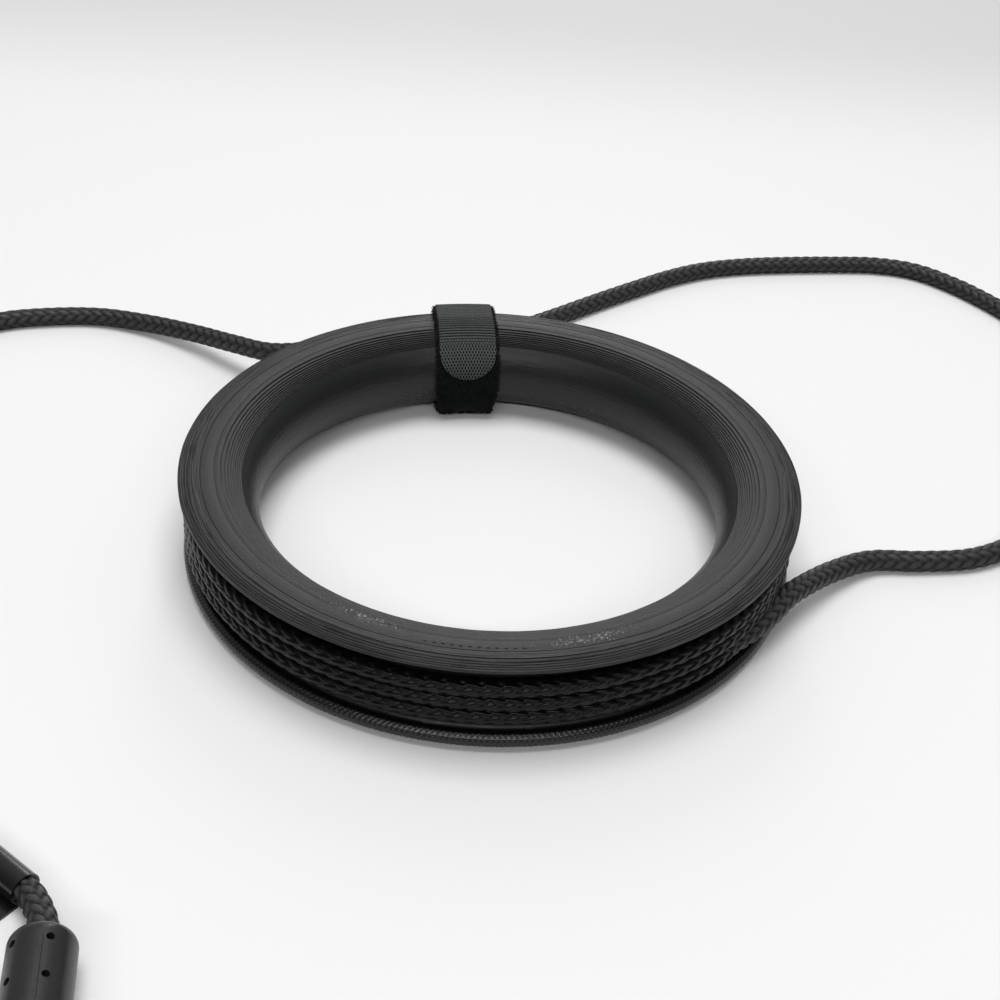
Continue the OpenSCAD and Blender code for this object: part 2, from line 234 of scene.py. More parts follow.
def braided_cord(
    name, path, even, radius, strands, pick, depth, sides,
    lift=0.45, flat=2.8, face=0, dense=0, turned=0, closed=False,
):
    """Tube round a path. Its radius is that of the cord less the depth of the braid where
    the braid is low, with strands ridges round it and one pick of them every pick of its
    length. The angles of its sides are even ones plus dense times their sine, which crowds
    them towards face, and turned turns the braid about the path. What would sink into the
    table lies flat on it. A closed path is a level circle round the axis, and its angles
    count from the direction away from the axis."""
    ahead, side, up = path_frames(path)
    if closed:
        turn = np.arctan2(path[:, 1], path[:, 0])
        side = np.stack([np.cos(turn), np.sin(turn), 0 * turn], 1)
        up = np.tile([0.0, 0, 1], (len(path), 1))
    t = np.arange(sides) / sides
    angle = 2 * math.pi * t + dense * np.sin(2 * math.pi * t) + face - math.pi
    s, th = np.meshgrid(even, angle, indexing="ij")
    full = np.broadcast_to(np.reshape(radius, (-1, 1)), s.shape)
    lump = 0.5 + 0.5 * np.sin(s / 7.3 + 2 * np.sin(s / 19.0) + th)
    height = braid(strands * (th - turned) / (2 * math.pi), s / pick, lift, flat)
    r = full - depth * (1 - height) - 0.02 * lump * full
    points = (
        path[:, None]
        + (r * np.cos(th))[..., None] * side[:, None]
        + (r * np.sin(th))[..., None] * up[:, None]
    )
    points[..., 2] = np.maximum(points[..., 2], 0)
    rows = len(path)
    quads, i, j = grid_faces(rows, sides, closed, True)
    faces = [quads]
    if not closed:
        ends = np.array([np.arange(sides)[::-1], (rows - 1) * sides + np.arange(sides)])
        faces.append(ends)
    round_it = angle * strands / (2 * math.pi)
    round_it = np.append(round_it, round_it[0] + strands)
    along_it = np.append(even, 2 * even[-1] - even[-2]) / pick
    uv = np.stack(
        [
            np.stack([round_it[j + dj], along_it[i + di]], 1)
            for di, dj in ((0, 0), (1, 0), (1, 1), (0, 1))
        ],
        1,
    )
    return make_mesh(name, points.reshape(-1, 3), faces, values={"height": height}, uv=uv)


# The lead's routes
def lay(points, lift=lead_d / 2):
    """Points of a route, whose third number is the height of the lead's underside."""
    return [np.array([x, y, z + lift]) for x, y, z in points]


def polar(angle, r, z):
    """A point, or a step, from its heading in degrees, its length over the table and its
    height."""
    a = math.radians(angle)
    return np.array([r * math.cos(a), r * math.sin(a), z])


# Heights of the lead's underside in the label, the bead and the plug, and their places
label_h, bead_h, plug_h = ((tall - lead_d) / 2 for tall in (label_d, bead_d, plug_tall))
label_start = np.array([-82, -84, label_h])
label_end = label_start + polar(-36, label_len, 0)
bead_start = np.array([label_end[0] + 6, label_end[1] - 10, bead_h])
bead_end = bead_start + polar(-80, bead_len, 0)
plug_end = np.array([bead_end[0] - 20, bead_end[1] - 14, plug_h])

tail_from_ring = [
    polar(103, turn_r, row_top),
    np.array([-20, 54.75, row_top + 0.35]),
    np.array([-27, 53, 14.2]),
]
tail_points = tail_from_ring + lay(
    [
        (-34, 51.5, 11.4), (-43, 50.5, 9.2), (-52, 52.5, 6.9), (-62, 59, 4.6),
        (-72, 66, 2.4), (-84, 72, 0.7), (-97, 75, 0), (-109, 73.5, 0),
        (-120, 69.5, 0), (-128, 62, 0), (-131, 51, 0), (-130, 39, 0),
        (-128, 27, 0), (-125, 15, 0), (-122, 3, 0), (-119, -9, 0),
        (-115, -21, 0), (-111, -33, 0), (-107, -44, 0), (-102, -55, 0),
        (-97, -65, 0), (-90, -76, 0.2), label_start, label_end,
        label_end + [2, -2.2, 0.4], label_end + [3.8, -5, 1.2], label_end + [5.2, -7.6, 1.9],
        bead_start, bead_end,
        bead_end + [0, -5.5, -0.4], bead_end + [-3.5, -10.5, -0.8], bead_end + [-9, -13.5, -1],
        (bead_end[0] - 14, plug_end[1], plug_h), plug_end,
    ]
)

slack_from_ring = [
    polar(131.8, turn_r, row_mid),
    np.array([-31, 50, row_mid]),
    np.array([-26.5, 53.9, 10]),
]
slack_to_ring = [
    np.array([57.3, -20.5, 7.0]),
    np.array([54.6, -24.6, row_low]),
    polar(-30, 58.9, row_low),
    polar(-36, 58, row_low),
    polar(-42, turn_r, row_low),
]
slack_points = slack_from_ring + lay(
    [
        (-22.5, 57.5, 7.2), (-12, 66.5, 4), (-1, 77, 1.5), (11, 88.8, 0.3),
        (23, 100, 0), (33, 108.6, 0), (43, 116.6, 0), (53, 122.6, 0),
        (63, 126.2, 0), (74, 128.7, 0), (87, 131, 0), (100, 132.4, 0),
        (110, 130.5, 0), (119, 124, 0), (128, 113.5, 0), (135, 102, 0),
        (139, 90, 0), (140, 78, 0), (139, 66, 0), (136, 54, 0),
        (131, 42, 0), (125, 30, 0), (118, 19, 0), (110, 9.5, 0),
        (99, 2.5, 0), (87, 0, 0), (77, -1.5, 0.4), (68, -8, 2),
        (60, -17, 4.3),
    ]
) + slack_to_ring

row_step = 0.34
loose_braid = dict(strands=8, pick=2.75, depth=0.66, sides=42)
tail_path, tail_even = smooth_path(tail_points, row_step)
slack_path, slack_even = smooth_path(slack_points, row_step)


def lead_radius(even, narrow_start, narrow_end):
    """The lead's radius along it: that of a tight turn at a narrow end, which eases to the
    full one, where the crests of the slack braid stand proud of the cord."""
    eased_over, proud = 16, 0.2
    tight, slack = turn_d / 2, lead_d / 2 + proud
    r = np.full(len(even), slack)
    for narrow, away in ((narrow_start, even), (narrow_end, even[-1] - even)):
        if narrow:
            x = np.clip(away / eased_over, 0, 1)
            r = np.minimum(r, tight + (slack - tight) * x * x * (3 - 2 * x))
    return r


lead_tail = braided_cord(
    "lead_braid_tail", tail_path, tail_even, lead_radius(tail_even, True, False), **loose_braid
)
lead_slack = braided_cord(
    "lead_braid_slack", slack_path, slack_even, lead_radius(slack_even, True, True), **loose_braid
)
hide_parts("lead_tail")
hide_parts("lead_loop")


# Turns in the groove, and the retaining loop under them
def turns_path():
    """Two stretches, each a circle of the turns' radius with a few small waves. The upper
    one enters behind the strap, runs clockwise in the top row, sinks to the middle row at
    the back and leaves there. The lower one lies on the retaining loop from the right round
    to the strap."""
    step = -0.38
    upper = np.radians(np.arange(103, 103 - 691, step))
    done = (np.radians(103) - upper) / (2 * math.pi)
    sink = np.clip((done - 0.72) / 0.3, 0, 1)
    sink = sink * sink * (3 - 2 * sink)
    wave = 0.06 * np.sin(5.3 * upper + 1) + 0.05 * np.sin(11.7 * upper)
    high = row_top + (row_mid - row_top) * sink + wave
    r = turn_r + 0.05 * np.sin(7.1 * upper)
    first = np.stack([r * np.cos(upper), r * np.sin(upper), high], 1)
    lower = np.radians(np.arange(-40, -263.5, step))
    wave = 0.05 * np.sin(4.1 * lower + 2) + 0.04 * np.sin(9.3 * lower)
    r = turn_r + 0.04 * np.sin(6.2 * lower)
    second = np.stack([r * np.cos(lower), r * np.sin(lower), row_low + wave], 1)
    return first, second


def length_along(path):
    """Distance along a path at each of its points."""
    return np.concatenate([[0], np.cumsum(np.linalg.norm(np.diff(path, axis=0), axis=1))])


# Pulled into the groove, the braid is longer and its crests stand less proud
tight_braid = dict(strands=8, pick=3.1, depth=0.62, sides=36, turned=math.radians(11))
turns = []
for name, path in zip(("lead_turns_upper", "lead_turns_lower"), turns_path()):
    radius = np.full(len(path), turn_d / 2 + 0.12)
    turns.append(
        braided_cord(
            name, path, length_along(path), radius, face=math.pi, dense=0.45, **tight_braid
        )
    )
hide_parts("lead_winding")

# The retaining loop, with its picks all round it and rows of points for each
loop_picks, rows_a_pick = 386, 6
fine_braid = dict(strands=14, depth=0.22, sides=36, lift=0.4, flat=5, turned=math.radians(14))
loop_turn = np.linspace(0, 2 * math.pi, loop_picks * rows_a_pick, endpoint=False)
loop_path = np.stack(
    [loop_r * np.cos(loop_turn), loop_r * np.sin(loop_turn), loop_z + 0 * loop_turn], 1
)
retaining = braided_cord(
    "retaining_braid", loop_path, loop_turn * loop_r, np.full(len(loop_path), loop_d / 2),
    pick=2 * math.pi * loop_r / loop_picks, face=0.3, dense=0.5, closed=True, **fine_braid,
)
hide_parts("retaining_loop")


# Ring
def printed_layers(radius, end, first, layer):
    """Layers of a print that follow a circle from its top down to a height. Each one is its
    reach, which is the circle's at the layer's bottom, and its highest and lowest height."""
    layers = []
    high, drop = radius, first
    while high - drop > end:
        low = high - drop
        layers.append((math.sqrt(max(radius**2 - low**2, 0)), high, low))
        high, drop = low, layer
    return layers


def ring_profile():
    """Points round the ring's section, each with how deep it lies in a crease, which the finish
    paints dark as painted shade: down the hole's wall, round the foot, out to the heel, through
    the groove, up the steps of the outer crown to the land, and down the layers at the top of
    the hole's side."""
    top = []
    layers = printed_layers(crown, crown * layered_to, first_layer, wall_layer)
    for reach, upper, lower in layers:
        r = bend_r - reach
        top += [(r + 0.10, upper, 0), (r + 0.03, upper - 0.02, 0.2), (r, upper - 0.06, 1)]
        top += [(r, lower, 1), (r - 0.03, lower, 0.1)]

    # The half-round wall of the hole, from the lowest of those layers down
    start = math.acos(layers[-1][2] / crown)
    wall = np.linspace(start + 0.03, math.pi, 70)
    inner = np.stack([bend_r - crown * np.sin(wall), crown * np.cos(wall)], 1)

    # The underside falls away from the land on an arc, as the top does, up to the foot
    drop_w = ring_r - land_r
    drop_r = (drop_w**2 + crown_drop**2) / (2 * crown_drop)
    out = np.linspace(0, math.asin(drop_w / drop_r), 12)
    foot = np.stack([land_r + drop_r * np.sin(out), -(crown - drop_r + drop_r * np.cos(out))], 1)
    foot = foot[foot[:, 0] < foot_r - 0.15]
    heel = np.array(
        [
            (foot_r - 0.02, -crown + 0.06), (foot_r, -crown + 0.14),
            (foot_r, -groove_root - 0.1), (foot_r - 0.08, -groove_root),
        ]
    )

    # The groove: straight slopes and rounded roots, then the thin rim above it
    def slope(r):
        return groove_root + (groove_rim - groove_root) * (r - floor_r) / groove_depth

    fillet_r = floor_r + groove_fillet
    corner = np.linspace(0, math.pi / 2, 8)
    fillet_z = slope(fillet_r) - groove_fillet * (1 - np.cos(corner))
    fillet = np.stack([fillet_r - groove_fillet * np.sin(corner), fillet_z], 1)
    on_slope = [(r, slope(r)) for r in (fillet_r + 0.4, ring_r - 1.2)]
    groove = np.vstack([fillet[::-1], on_slope])
    lower_groove = fillet[fillet[:, 0] < foot_r - 0.1] * [1, -1]
    rim_z = crown - crown_drop
    rim = np.array(
        [
            (ring_r - 0.12, groove_rim + 0.02), (ring_r, groove_rim + 0.16),
            (ring_r, rim_z - 0.14), (ring_r - 0.02, rim_z - 0.04),
        ]
    )

    # Fine layers step up the outer crown, and a line is pressed in at the land's edge
    crown_steps = []
    edges = land_r + drop_w * np.sqrt(np.array([0.12, 0.3, 0.46, 0.64, 0.82]))
    level = rim_z
    for edge in edges[::-1]:
        crown_steps += [(edge + 0.1, level, 0.2), (edge, level, 1)]
        crown_steps += [(edge - 0.01, level + fine_layer / 2, 0.6)]
        crown_steps += [(edge - 0.07, level + fine_layer, 0)]
        level += fine_layer
    land = [
        (land_r - 0.12, crown, 0), (land_r - 0.16, crown - 0.09, 1),
        (land_r - 0.24, crown - 0.09, 1), (land_r - 0.28, crown, 0),
    ]
    plain = np.vstack([inner[1:], foot, heel, lower_groove, groove, rim])
    plain = np.column_stack([plain, np.zeros(len(plain))])
    return np.vstack([plain, crown_steps, land, top])


def make_ring():
    """The profile turned about the ring's axis, each layer's edge wandering by a few
    hundredths of a millimetre."""
    profile = ring_profile()
    sides = 420
    turn = np.linspace(0, 2 * math.pi, sides, endpoint=False)
    t = turn[:, None]
    row = np.round(profile[:, 1] / fine_layer)[None]
    wander = 0.012 * np.sin(23 * t + 1.7 * row)
    wander += 0.01 * np.sin(41 * t + 2.9 * row)
    wander += 0.01 * np.sin(7 * t + 0.8 * row)
    r = profile[None, :, 0] + wander
    z = profile[None, :, 1] + 0 * t + mid_z
    points = np.stack([r * np.cos(t), r * np.sin(t), z], 2)
    quads, _, _ = grid_faces(sides, len(profile), True, True)
    # How deep each point lies in a crease, kept for the painted shade in the finish
    creases = {"crease": np.broadcast_to(profile[None, :, 2], r.shape)}
    return make_mesh("printed_ring", points.reshape(-1, 3), [quads], 35, creases)


ring = make_ring()
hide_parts("spool_ring")


# Strap
def wrap_outline(out, under, count):
    """Outline at a distance out from the ring's section, and at a distance under below it,
    as even points, from the inner wall's lowest point, up over the top, and back under."""
    top, low = crown + out, crown + under
    rim, corner = ring_r + out, fold_r + out
    a = np.linspace(-math.pi / 2, -3 * math.pi / 2, 60)
    inner = np.stack([bend_r + top * np.cos(a), np.maximum(top * np.sin(a), -low)], 1)
    b = np.linspace(math.pi / 2, 0, 12)
    upper = np.stack([rim - corner + corner * np.cos(b), top - corner + corner * np.sin(b)], 1)
    c = np.linspace(0, -math.pi / 2, 12)
    lower = np.stack([rim - corner + corner * np.cos(c), -low + corner + corner * np.sin(c)], 1)
    line = np.vstack([inner, upper, lower, inner[:1]])
    far = length_along(line)
    even = np.linspace(0, far[-1], count)
    return np.stack([np.interp(even, far, line[:, k]) for k in range(2)], 1)


def strap_solid(inner, outer, width, half_widths, rough, closed, edge):
    """A band between two outlines, across the strap. Its cross-section is a flat rectangle
    whose thickness falls to half over its edges, and rough, an array of heights, moves its
    outside out. A point beside its middle line is as far from the ring's axis as the point
    on that line, so the strap follows the ring round."""
    count, across = rough.shape
    u = np.linspace(-1, 1, across)
    y = half_widths[:, None] * u[None]
    y = np.concatenate([y, y[:, ::-1]], 1)
    near_edge = np.clip((np.abs(u) * width / 2 - (width / 2 - edge)) / edge, 0, 1)
    shrink = (1 - near_edge**2 * 0.5)[None, :, None]
    mid = (inner + outer)[:, None] / 2
    grow = (outer - inner)[:, None] / 2
    out = grow / np.linalg.norm(grow, axis=2, keepdims=True)
    outside = mid + grow * shrink + out * rough[..., None]
    section = np.concatenate([outside, mid - grow * shrink[:, ::-1]], 1)
    r, z = section[..., 0], section[..., 1] + mid_z
    along = np.array([math.cos(strap_at), math.sin(strap_at)])
    beside = np.array([-along[1], along[0]])
    x = np.sqrt(np.maximum(r**2 - y**2, 0))
    points = np.stack([x * along[0] + y * beside[0], x * along[1] + y * beside[1], z], 2)
    quads, _, _ = grid_faces(count, 2 * across, closed, True)
    faces = [quads]
    if not closed:
        edge_of = np.arange(2 * across)
        faces.append(np.array([edge_of[::-1], (count - 1) * 2 * across + edge_of]))
    return points, faces


tape_count, tape_across = 280, 48
inner_line = wrap_outline(part_gap, part_gap, tape_count + 1)[:-1]
outer_line = wrap_outline(part_gap + tape_t, part_gap + tape_under, tape_count + 1)[:-1]

# The tape stands off low on the hole's wall, in a bulge that falls off on both sides of a
# direction below the level, and is a little narrower there
bulge, bulge_at, bulge_spread = 2.1, math.radians(42), math.radians(18)
below = np.arctan2(-outer_line[:, 1], bend_r - outer_line[:, 0])
slack = bulge * np.exp(-(((below - bulge_at) / bulge_spread) ** 2))
slack *= outer_line[:, 0] < bend_r
away = outer_line - [bend_r, 0]
away *= slack[:, None] / np.linalg.norm(away, axis=1, keepdims=True)
outer_line, inner_line = outer_line + away, inner_line + 0.8 * away

pile = 0.10 * (rng.random((tape_count, tape_across)) - 0.5)
under = outer_line[:, 1] < -crown - part_gap - tape_under + 0.3
pile[under] = 0
half = tape_w / 2 - 0.5 * slack
tape_points, faces = strap_solid(inner_line, outer_line, tape_w, half, pile, True, 0.25)
tape = make_mesh("strap_pile_tape", tape_points.reshape(-1, 3), faces)
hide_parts("strap_tape")


def pile_loops(surface, count):
    """Loops of pile on the tape, but not under the ring: at a random place on its outside,
    half a wave of a sine that rises square to the tape and comes down to one side, with a
    three-sided section carried along it. At the tape's edges the loops lean outwards."""
    sides, stations, filament_r = 3, 5, 0.06
    row = rng.choice(np.flatnonzero(~under), count)
    across = rng.beta(0.55, 0.55, count)
    column = np.round(across * (tape_across - 1)).astype(int)
    base = surface[row, column]
    ahead = surface[(row + 1) % tape_count, column] - base
    beside = surface[row, tape_across - 1] - surface[row, 0]
    ahead /= np.linalg.norm(ahead, axis=1, keepdims=True)
    beside /= np.linalg.norm(beside, axis=1, keepdims=True)
    out = np.cross(ahead, beside)
    middle = surface[:, tape_across // 2].mean(axis=0)
    out *= np.sign(((base - middle) * out).sum(axis=1))[:, None]
    lean = np.clip((np.abs(across - 0.5) - 0.44) / 0.06, 0, 1)[:, None] * 1.1
    out = np.cos(lean) * out + np.sin(lean) * beside * np.sign(across - 0.5)[:, None]
    turn = rng.uniform(0, 2 * math.pi, (count, 1))
    to_side = np.cross(out, ahead)
    reach = np.cos(turn) * ahead + np.sin(turn) * to_side
    third = np.cross(reach, out)
    t = np.linspace(0, 1, stations)[None, :, None]
    wide = rng.uniform(0.35, 0.8, (count, 1, 1))
    high = rng.uniform(0.25, 0.65, (count, 1, 1))
    line = base[:, None] + reach[:, None] * wide * (t - 0.5)
    line += out[:, None] * (high * np.sin(math.pi * t) - 2 * filament_r)
    way = reach[:, None] * wide + out[:, None] * high * math.pi * np.cos(math.pi * t)
    way /= np.linalg.norm(way, axis=2, keepdims=True)
    other = np.cross(np.broadcast_to(third[:, None], way.shape), way)
    k = np.arange(sides) * 2 * math.pi / sides
    round_it = third[:, None, None] * np.cos(k)[:, None] + other[:, :, None] * np.sin(k)[:, None]
    points = line[:, :, None] + filament_r * round_it
    quads, _, _ = grid_faces(stations, sides, False, True)
    first = np.arange(sides)
    caps = np.array([first, (stations * sides - 1) - first])
    start = (np.arange(count) * stations * sides)[:, None, None]
    return points.reshape(-1, 3), [(quads + start).reshape(-1, 4), (caps + start).reshape(-1, 3)]


loops, loop_faces = pile_loops(tape_points, 4000)
fuzz = make_mesh("strap_pile_loops", loops, loop_faces, closed=False)

# The tab follows the same outline a tape's thickness further out, from its round end on the
# hole's wall over the ring and down to its root outside
tab_step, tab_across = 0.1, 96
tab_in = 2 * part_gap + tape_t
full_in = wrap_outline(tab_in, tab_in, 1600)
full_out = wrap_outline(tab_in + tab_t, tab_in + tab_t, 1600)
keep = full_out[:, 1] > np.where(full_out[:, 0] < bend_r, tab_end, tab_root)
full_in, full_out = full_in[keep], full_out[keep]
tab_far = length_along(full_out)
rows = np.searchsorted(tab_far, np.arange(0, tab_far[-1], tab_step))
tab_inner, tab_outer = full_in[rows], full_out[rows]
round_part = np.clip(1 - (tab_outer[:, 1] - tab_end) / (tab_w / 2), 0, 1)
round_half = tab_w / 2 * np.sqrt(np.maximum(1 - round_part**2, 0.002))
half = np.where(tab_outer[:, 0] < bend_r, round_half, tab_w / 2)

# The weave has holes in staggered rows, which close into plain ribs higher up and fade where
# the tab is pressed flat. It is paler at its round end and darker further along, by what the
# distance s along it says; that and the dark of the holes are painted shade
hole_apart, row_apart, weave_depth = 0.67, 0.7, 0.26
y = half[:, None] * np.linspace(-1, 1, tab_across)[None]
s = tab_far[rows][:, None] + 0 * y
holes = np.cos(2 * math.pi * y / hole_apart) * np.cos(math.pi * s / row_apart)
holes = np.clip(2.2 * holes - 0.1, 0, 1)
ribs = (0.5 - 0.5 * np.cos(2 * math.pi * s / row_apart)) ** 2
blend = np.clip((s - 6.5) / 3.5, 0, 1)
fade = 1 - 0.75 * np.clip((s - 11) / 6, 0, 1)
weave = fade * ((1 - blend) * holes + blend * 0.6 * ribs)
# Painted shade: dark in the weave's holes and darker from about 6 mm along the tab
pale = 1 - weave - 0.42 * np.clip((s - 6) / 9, 0, 1)
pale = np.concatenate([pale, np.ones_like(pale)], 1)
points, faces = strap_solid(
    tab_inner, tab_outer, tab_w, half, -weave_depth * weave, closed=False, edge=0.2
)
tab = make_mesh("strap_hook_tab", points.reshape(-1, 3), faces, values={"height": pale})
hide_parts("strap_tab")


# Finishes
def linear(code):
    """Linear red, green, blue and alpha from a hex colour."""
    parts = [int(code[i : i + 2], 16) / 255 for i in (1, 3, 5)]
    return tuple(p / 12.92 if p <= 0.04045 else ((p + 0.055) / 1.055) ** 2.4 for p in parts) + (1,)


def add(tree, kind, *inputs, out=0, **settings):
    """Adds a node with its settings. Its inputs are given in order, or in a dictionary by
    name or number, as values or as sockets to link. Gives back one of its outputs."""
    node = tree.nodes.new("ShaderNode" + kind)
    for key, value in settings.items():
        setattr(node, key, value)
    given = inputs[0] if inputs and isinstance(inputs[0], dict) else dict(enumerate(inputs))
    for key, value in given.items():
        if isinstance(value, bpy.types.NodeSocket):
            tree.links.new(value, node.inputs[key])
        else:
            node.inputs[key].default_value = value
    return node.outputs[out]


def new_finish(name, colour, roughness, specular=0.5):
    """A new material: its tree, its shader, and the object's coordinates in millimetres."""
    material = bpy.data.materials.new(name)
    material.use_nodes = True
    tree = material.node_tree
    shader = tree.nodes["Principled BSDF"]
    shader.inputs["Base Color"].default_value = linear(colour)
    shader.inputs["Roughness"].default_value = roughness
    shader.inputs["Specular IOR Level"].default_value = specular
    metres = add(tree, "TexCoord", out="Object")
    place = add(tree, "VectorMath", {0: metres, "Scale": 1 / MM}, operation="SCALE")
    return material, tree, shader, place


# Where the print is rubbed: heading and half spread in degrees, how worn it is, the two ends
# of the band, and how soft its edges are. The ends are distances from the axis on the crown
# and heights on the hole's wall.
RUBBED_CROWN = ((248, 15, 1.0, 52.6, 53.4, 2.0), (290, 17, 1.0, 53.6, 54.6, 2.2))
RUBBED_WALL = ((70, 18, 0.8, 5.6, 7.4, 2.4), (112, 13, 0.8, 5.6, 7.4, 2.4))
PINHOLE_R, PINHOLES_APART = 55.05, 1.5


def printed_plastic():
    """Black PLA laid in rings and layers, with the satin of a print straight off the plate.
    Fine rings show on the crowns and fine layers on the walls, the darkest near the rim, which
    is painted shade, as is the dark of the creases and of a row of pinholes that marks where
    the rings of the crown start. Where it was rubbed, specks of it shine, and they are painted
    pale: real scuffing and a painted highlight."""
    material, tree, shader, place = new_finish("printed_pla", "#1e1e20", 0.36, 0.35)
    x = add(tree, "SeparateXYZ", place, out=0)
    y = add(tree, "SeparateXYZ", place, out=1)
    z = add(tree, "SeparateXYZ", place, out=2)
    level_place = add(tree, "CombineXYZ", x, y, 0.0)
    r = add(tree, "VectorMath", level_place, operation="LENGTH", out="Value")
    heading = add(tree, "VectorMath", level_place, operation="NORMALIZE")
    around = add(tree, "Math", y, x, operation="ARCTAN2")

    # Threads 0.42 mm wide on the crowns and layers 0.24 mm tall on the walls, each a little
    # higher or lower than the next and changing slowly along it, and a grain of 0.45 mm
    threads_in = add(tree, "Math", r, 2.4, operation="MULTIPLY")
    layers_down = add(tree, "Math", z, 4.2, operation="MULTIPLY")
    across = add(tree, "Math", threads_in, layers_down, operation="ADD")
    across = add(tree, "CombineXYZ", 0.0, 0.0, across)
    turn = add(tree, "VectorMath", {0: heading, "Scale": 5.0}, operation="SCALE")
    in_thread = add(tree, "VectorMath", turn, across, operation="ADD")
    streaks = add(
        tree, "TexNoise", {"Vector": in_thread, "Scale": 1.0, "Detail": 2.0, "Roughness": 0.6}
    )
    grain = add(
        tree, "TexNoise", {"Vector": place, "Scale": 2.2, "Detail": 5.0, "Roughness": 0.7}
    )

    # Share of a place near the rim of the crown, and of a place on the crown at all
    near_rim = add(tree, "MapRange", {0: r, 1: land_r - 0.5, 2: land_r + 1.6})
    on_crown = {0: z, 1: mid_z + crown * 0.6, 2: mid_z + crown * 0.9}
    on_top = {0: z, 1: mid_z + crown * 0.8, 2: mid_z + crown * 0.9}

    # Rubbed patches, in which specks of 0.45 mm stand out where the noise is high
    patches = 0.0
    for bands, across_it, side in (
        (RUBBED_CROWN, r, add(tree, "MapRange", on_crown)),
        (RUBBED_WALL, z, 1.0),
    ):
        for angle, spread, wear, low, high, soft in bands:
            way = (math.cos(math.radians(angle)), math.sin(math.radians(angle)), 0.0)
            toward = add(tree, "VectorMath", heading, way, operation="DOT_PRODUCT", out="Value")
            edge = math.cos(math.radians(spread))
            share = add(tree, "MapRange", {0: toward, 1: edge, 2: 1.0})
            off = add(tree, "Math", across_it, (low + high) / 2, operation="SUBTRACT")
            off = add(tree, "Math", off, operation="ABSOLUTE")
            half = (high - low) / 2
            band = add(tree, "MapRange", {0: off, 1: half + soft, 2: half})
            patch = add(tree, "Math", share, band, operation="MULTIPLY")
            patch = add(tree, "Math", patch, side, operation="MULTIPLY")
            patch = add(tree, "Math", patch, wear, operation="MULTIPLY")
            patches = add(tree, "Math", patches, patch, operation="MAXIMUM")
    chips = add(
        tree, "TexNoise", {"Vector": place, "Scale": 2.3, "Detail": 3.0, "Roughness": 0.7}
    )
    sparse = add(tree, "Math", patches, 0.3, operation="MULTIPLY")
    sparse = add(tree, "Math", sparse, 0.3, operation="SUBTRACT")
    chips = add(tree, "Math", chips, sparse, operation="ADD")
    rubbed = add(tree, "MapRange", {0: chips, 1: 0.45, 2: 0.56})

    # Pinholes on a circle, over a short stretch of the near crown, as pits in the bump and
    # painted dark as painted shade
    holes_a_radian = round(2 * math.pi * PINHOLE_R / PINHOLES_APART) / (2 * math.pi)
    step = add(tree, "Math", around, holes_a_radian, operation="MULTIPLY")
    step = add(tree, "Math", step, operation="FRACT")
    off_step = add(tree, "Math", step, 0.5, operation="SUBTRACT")
    off_step = add(tree, "Math", off_step, PINHOLES_APART, operation="MULTIPLY")
    off_r = add(tree, "Math", r, PINHOLE_R, operation="SUBTRACT")
    off_r = add(tree, "Math", off_r, 1.6, operation="MULTIPLY")
    off = add(tree, "CombineXYZ", off_step, off_r, 0.0)
    off = add(tree, "VectorMath", off, operation="LENGTH", out="Value")
    near = (0.0, -1.0, 0.0)
    sector = add(tree, "VectorMath", heading, near, operation="DOT_PRODUCT", out="Value")
    sector = add(tree, "MapRange", {0: sector, 1: 0.984, 2: 0.99})
    holes = add(tree, "MapRange", {0: off, 1: 0.34, 2: 0.1})
    holes = add(tree, "Math", holes, sector, operation="MULTIPLY")
    holes = add(tree, "Math", holes, add(tree, "MapRange", on_top), operation="MULTIPLY")

    # Height: threads, grain, chips where rubbed, and the holes
    weight = add(tree, "MapRange", {0: near_rim, 3: 0.12, 4: 1.4})
    threads = add(tree, "Math", streaks, weight, operation="MULTIPLY")
    fine = add(tree, "Math", grain, 0.35, operation="MULTIPLY")
    lumps = add(tree, "Math", rubbed, grain, operation="MULTIPLY")
    pits = add(tree, "Math", holes, 1.5, operation="MULTIPLY")
    height = add(tree, "Math", threads, fine, operation="ADD")
    height = add(tree, "Math", height, lumps, operation="ADD")
    height = add(tree, "Math", height, pits, operation="SUBTRACT")
    bump = add(tree, "Bump", {"Height": height, "Distance": 0.16 * MM, "Strength": 1.0})
    tree.links.new(bump, shader.inputs["Normal"])

    # Colour: paler where rubbed, in specks of real scuffing and painted highlight; dark in
    # the lines near the rim, in the holes and creases, which is painted shade
    clouds = add(
        tree, "TexNoise", {"Vector": place, "Scale": 0.05, "Detail": 4.0, "Roughness": 0.65}
    )
    # Pale specks where rubbed: real scuffs, and a painted highlight of their shine
    scuff_and_glint = add(tree, "MapRange", {0: grain, 1: 0.44, 2: 0.64, 3: 0.15, 4: 1.0})
    scuff_and_glint = add(tree, "Math", rubbed, scuff_and_glint, operation="MULTIPLY")
    # Painted shade: darker in the layer lines near the rim and in the pinholes
    line = add(tree, "MapRange", {0: streaks, 1: 0.46, 2: 0.34})
    line_share = add(tree, "MapRange", {0: near_rim, 3: 0.08, 4: 0.9})
    dark = add(tree, "Math", line, line_share, operation="MULTIPLY")
    dark = add(tree, "Math", dark, holes, operation="MAXIMUM")
    # Creases painted near black: painted shade
    crease = add(tree, "Attribute", attribute_name="crease", out="Fac")
    shade = linear("#1a1b1b")
    for share, colour in (
        (clouds, "#232424"), (scuff_and_glint, "#a4a6a8"), (dark, "#0a0a0b"), (crease, "#040404"),
    ):
        mixed = {0: share, 6: shade, 7: linear(colour)}
        shade = add(tree, "Mix", mixed, data_type="RGBA", out=2)
    tree.links.new(shade, shader.inputs["Base Color"])

